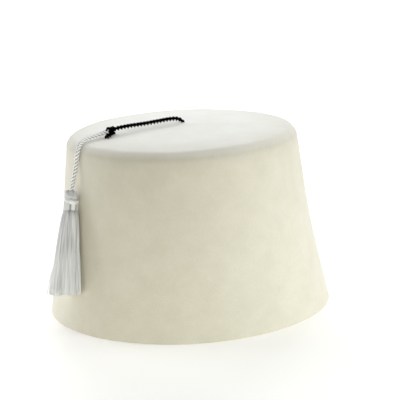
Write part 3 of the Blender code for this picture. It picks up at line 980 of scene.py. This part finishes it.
def hang_thread(bm, tassel, skirt, template, tone, draw, angle, depth, loose=None):
    """One thread of the skirt, or one of a loose end that parts from it."""
    thread = tassel.thread_diameter / 2
    stray = draw.uniform(-1, 1)
    flare = THREAD_FLARE * draw.random() ** 3
    length = 1.0 + THREAD_LENGTHS * draw.uniform(-1, 1)
    if draw.random() < BROKEN_SHARE:
        length -= BROKEN_LENGTH * draw.random()
    length -= SHORT_SIDE_CUT * max(0.0, math.cos(angle - SHORT_SIDE))
    shade = THREAD_TONES * draw.uniform(-1, 1) + (LOOSE_END_TONE if loose else 0)
    round_it = place_round(angle)
    near = max(0.0, math.cos(angle - DRAWN_IN_SIDE)) ** 8
    centres = []
    radii = []
    shades = []
    for k in range(SKIRT_RINGS):
        share = length * k / (SKIRT_RINGS - 1)
        clump = noise.noise(round_it * 2.2 + Vector((0, 0, 1.6 * share)))
        turn = angle + CLUMP_TURN * share * clump + STRAY_TURN * share * stray
        puff = 1 + PUFF_SWELLING * share * noise.noise(round_it * 3 + Vector((0, 0, 4 + 2 * share)))
        reach = depth * (puff - DRAWN_IN * near * min(1.0, 2 * share)) + flare * share
        if loose:
            leaves, foot_reach, spread = loose
            parted = max(0.0, share - leaves) / (1 - leaves)
            # Half of the way out is gone over the first third, the rest evenly
            gap = foot_reach - reach
            reach += gap * min(1.0, 3 * parted) * 0.5 + gap * parted * 0.5
            turn += spread * stray * parted
        centres.append(skirt_point(tassel, skirt, turn, reach, share, thread))
        radii.append(thread * (0.8 + 0.2 * share))
        shades.append(streak_tone(angle, share) + shade - (0 if k else TUCKED_PAINTED_SHADE))
    add_thread(bm, template, centres, radii, skirt, tone, shades)


def gather_neck(bm, tassel, tone, draw):
    """The neck: bundles of threads gathered below the head."""
    thread = tassel.thread_diameter / 2
    turned = tassel_turn(HEAD_CENTRE, NECK_FOOT)
    top = HEAD_CENTRE.lerp(NECK_FOOT, NECK_STARTS)
    template = thread_template(NECK_RINGS, THREAD_SIDES)
    for i in range(NECK_THREADS):
        angle = TURN * i / NECK_THREADS
        degrees = math.degrees(angle)
        gap = max(math.exp(-((degrees - at + 180) % 360 - 180) ** 2 / half ** 2) for at, half in NECK_GAPS)
        bright = math.exp(-((degrees - NECK_PAINTED_LIGHT_SIDE) / NECK_PAINTED_LIGHT_WIDTH) ** 2)
        # Painted shade in the gaps, painted light on one bundle
        shade = NECK_TONE - NECK_TONE * gap + NECK_PAINTED_LIGHT * bright
        shade += NECK_TONES * draw.uniform(-1, 1)
        centres = []
        for k in range(NECK_RINGS):
            share = k / (NECK_RINGS - 1)
            bulge = NECK_END_REACH + NECK_BULGE * math.sin(math.pi * share)
            reach = tassel.neck_diameter / 2 * bulge * (1 - NECK_GAP_DEPTH * gap)
            side = turned @ place_round(angle) * (reach - thread)
            centres.append(top.lerp(NECK_FOOT, share * NECK_ENDS) + side)
        radii = [thread * NECK_THREAD_SHARE] * NECK_RINGS
        add_thread(bm, template, centres, radii, turned, tone, [shade] * NECK_RINGS)
    bpy.data.meshes.remove(template)


def fill_skirt(bm, tassel, skirt, tone):
    """The skirt's middle, where threads lie too close to tell apart, painted dark as shade."""
    foot = NECK_FOOT.lerp(SKIRT_FOOT, MIDDLE_LENGTH)
    middle = bmesh.ops.create_cone(bm, cap_ends=True, segments=24, radius1=1, radius2=1, depth=1)["verts"]
    for vert in middle:
        centre, wide, deep = NECK_FOOT, MIDDLE_TOP, MIDDLE_TOP
        if vert.co.z < 0:
            centre, wide, deep = foot, MIDDLE_FOOT * tassel.skirt_width, MIDDLE_FOOT * tassel.skirt_depth
        vert.co = centre + skirt @ Vector((vert.co.x * wide, vert.co.y * deep, 0))
        vert[tone] = MIDDLE_PAINTED_SHADE


class FEZ_OT_tassel_skirt(bpy.types.Operator):
    bl_idname = "fez.tassel_skirt"
    bl_label = "Tassel skirt"

    def execute(self, context):
        tassel = context.scene.fez_tassel
        draw = random.Random(THREAD_SEED)
        bm = bmesh.new()
        tone = bm.verts.layers.float.new("thread_tone_and_painted_light")
        skirt = tassel_turn(NECK_FOOT, SKIRT_FOOT)
        template = thread_template(SKIRT_RINGS, THREAD_SIDES)
        for i in range(tassel.thread_count):
            depth = 1.0 if i % 2 else math.sqrt(draw.uniform(*INNER_AREA))
            angle = TURN * (i + draw.random()) / tassel.thread_count
            hang_thread(bm, tassel, skirt, template, tone, draw, angle, depth)
        for degrees, leaves, reach, count, spread in LOOSE_ENDS:
            for i in range(count):
                angle = math.radians(degrees) + spread * draw.uniform(-1, 1)
                hang_thread(bm, tassel, skirt, template, tone, draw, angle, LOOSE_DEPTH,
                            (leaves, reach, spread))
        bpy.data.meshes.remove(template)
        gather_neck(bm, tassel, tone, draw)
        fill_skirt(bm, tassel, skirt, tone)
        bmesh.ops.recalc_face_normals(bm, faces=bm.faces)
        material = bpy.data.materials["rayon_floss_white"]
        hung = add_piece("loose_tassel_skirt", bm, material, "tassel_skirt")
        for name, side, _ in WHITE_STRANDS:
            path = strand_path(side, context.scene.fez_crown)
        return {"FINISHED"}


# Half the floor's width, and the light that it gives near the hat. The glow rises with the
# distance from the hat between these two, so that the ground is white in every view.
FLOOR_HALF_WIDTH = 20
FLOOR_GLOW = 0.207
GLOW_RISES_FROM = 0.35
GLOW_RISES_TO = 1.4
ROOM_LIGHT = 0.2
# The point that every softbox faces
LIGHT_AIM = (0, 0, 0.07)
# Softboxes: name, place, width and height, watts, colour. The card stands on the floor, out of
# the picture, and throws light at the foot of the wall.
SOFTBOXES = [
    ("softbox_back", (0.0, 1.5, 0.9), (1.4, 0.8), 13.26, "#FEFEFF"),
    ("softbox_left_back", (-1.2, 0.7, 0.7), (0.9, 0.9), 9.1, "#FAFCFF"),
    ("softbox_left_low", (-1.1, 0.5, 0.15), (0.8, 0.3), 1.9, "#E9F1FF"),
    ("softbox_overhead", (0.0, 0.1, 1.6), (1.4, 1.4), 5.8, "#FDFFFF"),
    ("softbox_right", (1.5, 0.0, 0.6), (0.9, 0.9), 7.6, "#FBFFFF"),
    ("softbox_right_front", (1.2, -1.0, 0.8), (0.9, 0.9), 8.7, "#FBFFFD"),
    ("bounce_card_front_left", (-0.145, -0.28, 0.02), (0.25, 0.04), 0.064, "#FFFED0"),
]


def soft_light(name, place, size, power, hex_colour):
    """A soft area light that faces the hat."""
    data = bpy.data.lights.new(name, "AREA")
    data.shape = "RECTANGLE"
    data.size, data.size_y = size
    data.energy = power
    data.color = linear(hex_colour)[:3]
    light = bpy.data.objects.new(name, data)
    light.location = place
    light.visible_camera = False
    light.rotation_euler = (Vector(LIGHT_AIM) - Vector(place)).to_track_quat("-Z", "Y").to_euler()
    bpy.context.scene.collection.objects.link(light)


class FEZ_OT_stage(bpy.types.Operator):
    """Lay the pale floor and set the soft studio light"""

    bl_idname = "fez.stage"
    bl_label = "Floor and light"

    def execute(self, context):
        bm = bmesh.new()
        bmesh.ops.create_grid(bm, x_segments=1, y_segments=1, size=FLOOR_HALF_WIDTH)
        material, tree, shader = new_material("white_acrylic_sheet")
        set_sockets(shader, Base_Color=linear("#FBFAF8"), Roughness=0.6,
                    Emission_Color=linear("#FFFCF5"))
        place = add_node(tree, "ShaderNodeTexCoord")
        away = add_node(tree, "ShaderNodeVectorMath", {"operation": "LENGTH"},
                        links={0: (place, "Object")})
        glow = add_node(tree, "ShaderNodeMapRange", links={"Value": (away, "Value")},
                        From_Min=GLOW_RISES_FROM, From_Max=GLOW_RISES_TO,
                        To_Min=FLOOR_GLOW, To_Max=1.0)
        tree.links.new(glow.outputs["Result"], shader.inputs["Emission Strength"])
        floor = add_object("pale_floor", bm, material)

        world = bpy.data.worlds.new("white_room")
        world.use_nodes = True
        set_sockets(world.node_tree.nodes["Background"], Color=linear("#FFFFFF"), Strength=ROOM_LIGHT)
        context.scene.world = world
        for name, place, size, power, colour in SOFTBOXES:
            soft_light(name, place, size, power, colour)
        # The card lights the hat alone, so that it draws no line on the floor
        lit = bpy.data.collections.new("lit_by_card")
        for piece in context.scene.objects:
            if piece.type == "MESH" and piece != floor:
                lit.objects.link(piece)
        bpy.data.objects["bounce_card_front_left"].light_linking.receiver_collection = lit
        context.scene.view_settings.view_transform = "Standard"
        return {"FINISHED"}


class FEZ_PT_panel(bpy.types.Panel):
    """The fez's settings and its makers"""

    bl_label = "Fez"
    bl_idname = "FEZ_PT_panel"
    bl_space_type = "VIEW_3D"
    bl_region_type = "UI"
    bl_category = "Fez"

    def draw(self, context):
        for group in (context.scene.fez_crown, context.scene.fez_cord, context.scene.fez_tassel):
            box = self.layout.box()
            for key in group.__annotations__:
                box.prop(group, key)
        for operator in OPERATORS:
            self.layout.operator(operator.bl_idname)


SETTINGS = (FezCrownSettings, FezCordSettings, FezTasselSettings)
OPERATORS = (FEZ_OT_camera, FEZ_OT_black_cord, FEZ_OT_white_cord, FEZ_OT_felt_crown, FEZ_OT_tassel_head,
             FEZ_OT_tassel_skirt, FEZ_OT_stage)


def register():
    """Register the settings, the operators and the panel."""
    for cls in (*SETTINGS, *OPERATORS, FEZ_PT_panel):
        bpy.utils.register_class(cls)
    bpy.types.Scene.fez_crown = PointerProperty(type=FezCrownSettings)
    bpy.types.Scene.fez_cord = PointerProperty(type=FezCordSettings)
    bpy.types.Scene.fez_tassel = PointerProperty(type=FezTasselSettings)


def unregister():
    """Take the settings, the operators and the panel out again."""
    del bpy.types.Scene.fez_tassel
    del bpy.types.Scene.fez_cord
    del bpy.types.Scene.fez_crown
    for cls in (FEZ_PT_panel, *reversed(OPERATORS), *reversed(SETTINGS)):
        bpy.utils.unregister_class(cls)


def main():
    """Make every piece in order."""
    register()
    bpy.ops.fez.camera()
    bpy.ops.fez.black_cord()
    bpy.ops.fez.white_cord()
    bpy.ops.fez.felt_crown()
    bpy.ops.fez.tassel_head()
    bpy.ops.fez.tassel_skirt()
    bpy.ops.fez.stage()


if __name__ == "__main__":
    main()
